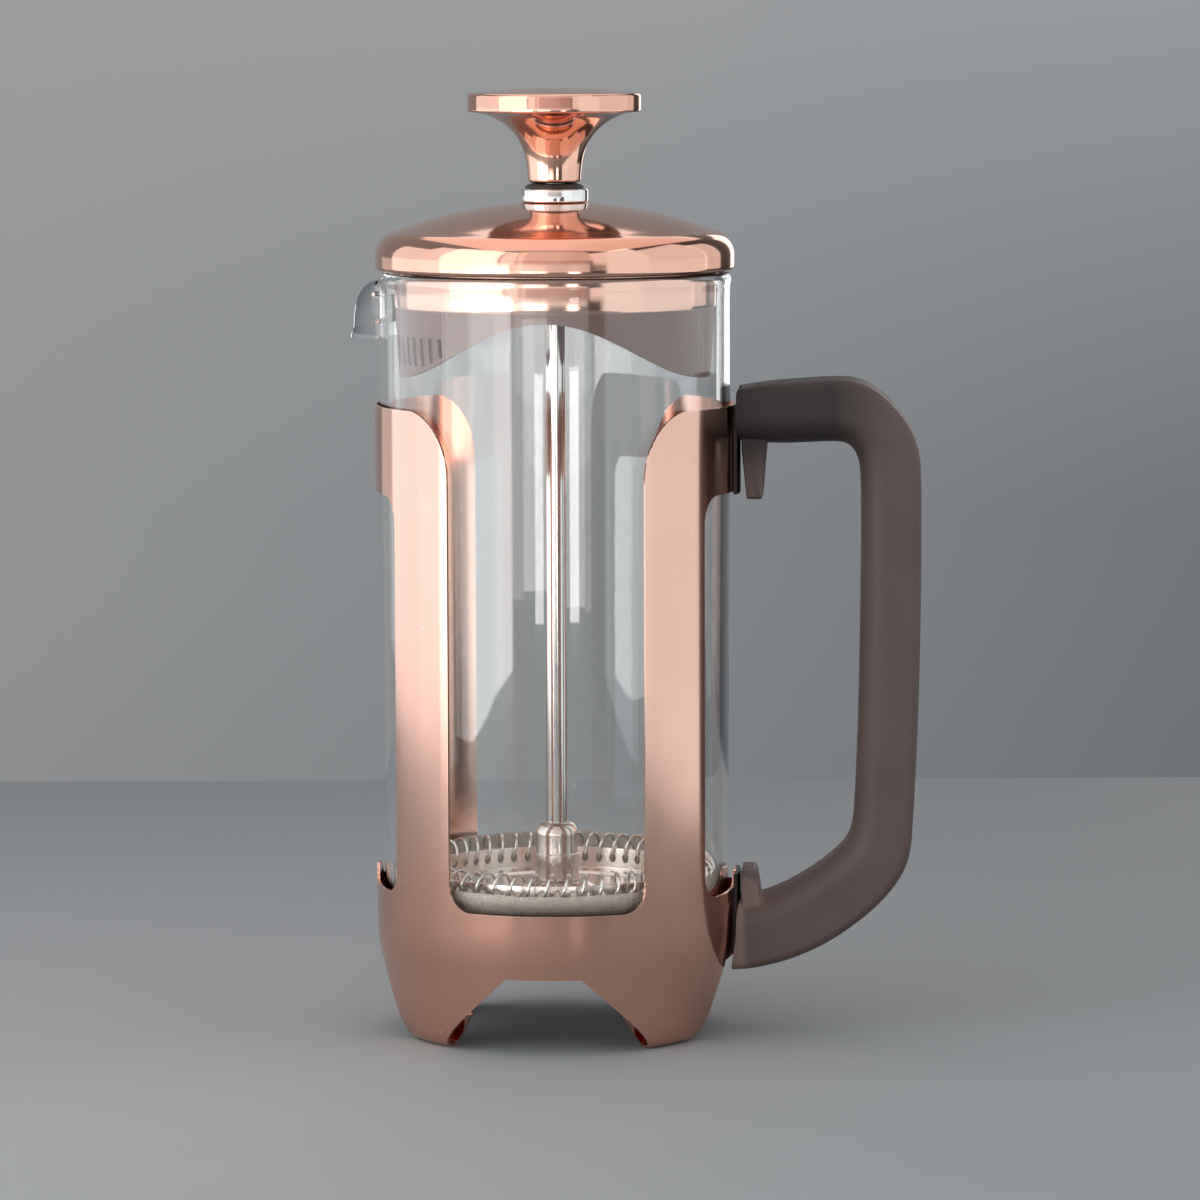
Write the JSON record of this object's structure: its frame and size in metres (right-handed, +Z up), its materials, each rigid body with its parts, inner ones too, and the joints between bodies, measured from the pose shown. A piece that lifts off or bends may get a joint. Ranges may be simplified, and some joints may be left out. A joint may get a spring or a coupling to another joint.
{
  "type": "french press",
  "caption": "Small french press: satin copper-coloured sheet frame, clear glass beaker with turned-down spout, polished domed lid and knob, spring-edged filter, dark plastic handle",
  "frame": {"origin": "on the beaker's axis, at the level of the table that the four feet stand on", "axes": "+Z up along the beaker and plunger, +X out through the handle, -X through the spout, -Y out of the front window"},
  "size_m": [0.1147, 0.0728, 0.1901],
  "materials": {
    "satin_copper": "satin rose copper plating on steel sheet",
    "polished_copper": "mirror-polished copper plating",
    "dark_plastic": "matte dark brown-black moulded plastic",
    "black_metal": "black coated steel strap",
    "clear_glass": "clear borosilicate glass",
    "chrome_plate": "bright chrome plating",
    "stainless": "bright drawn stainless steel",
    "stainless_mesh": "fine woven stainless wire cloth",
    "black_nylon": "plain black nylon bush"
  },
  "bodies": {
    "frame_body": {"frame": "satin_copper", "handle": "dark_plastic", "handle_bracket_top": "black_metal", "handle_bracket_bottom": "black_metal"},
    "beaker_body": {"beaker": "clear_glass"},
    "ferrule_body": {"ferrule": "chrome_plate", "ferrule_washer": "stainless", "ferrule_nut": "stainless"},
    "lid_body": {"lid_dome": "polished_copper", "lid_liner": "polished_copper"},
    "bush_body": {"guide_bush": "black_nylon"},
    "plunger_body": {"knob": "polished_copper", "plunger_rod": "stainless", "filter_hub": "stainless", "spring_plate": "stainless", "filter_spring": "stainless", "mesh_screen": "stainless_mesh", "cross_plate": "stainless", "filter_nut": "stainless"}
  },
  "joints": [
    {"name": "beaker_lift", "type": "slide", "parent": "frame_body", "child": "beaker_body", "axis": [0, 0, 1], "range_m": [0, 0.118]},
    {"name": "lid_lift", "type": "slide", "parent": "beaker_body", "child": "ferrule_body", "axis": [0, 0, 1], "range_m": [0, 0.132]},
    {"name": "lid_turn", "type": "hinge", "parent": "ferrule_body", "child": "lid_body", "pos_m": [0, 0, 0.1565], "axis": [0, 0, 1], "continuous": true},
    {"name": "plunger_turn", "type": "hinge", "parent": "ferrule_body", "child": "bush_body", "pos_m": [0, 0, 0.16], "axis": [0, 0, 1], "continuous": true},
    {"name": "plunger_press", "type": "slide", "parent": "bush_body", "child": "plunger_body", "axis": [0, 0, 1], "range_m": [0, 0.095]}
  ]
}
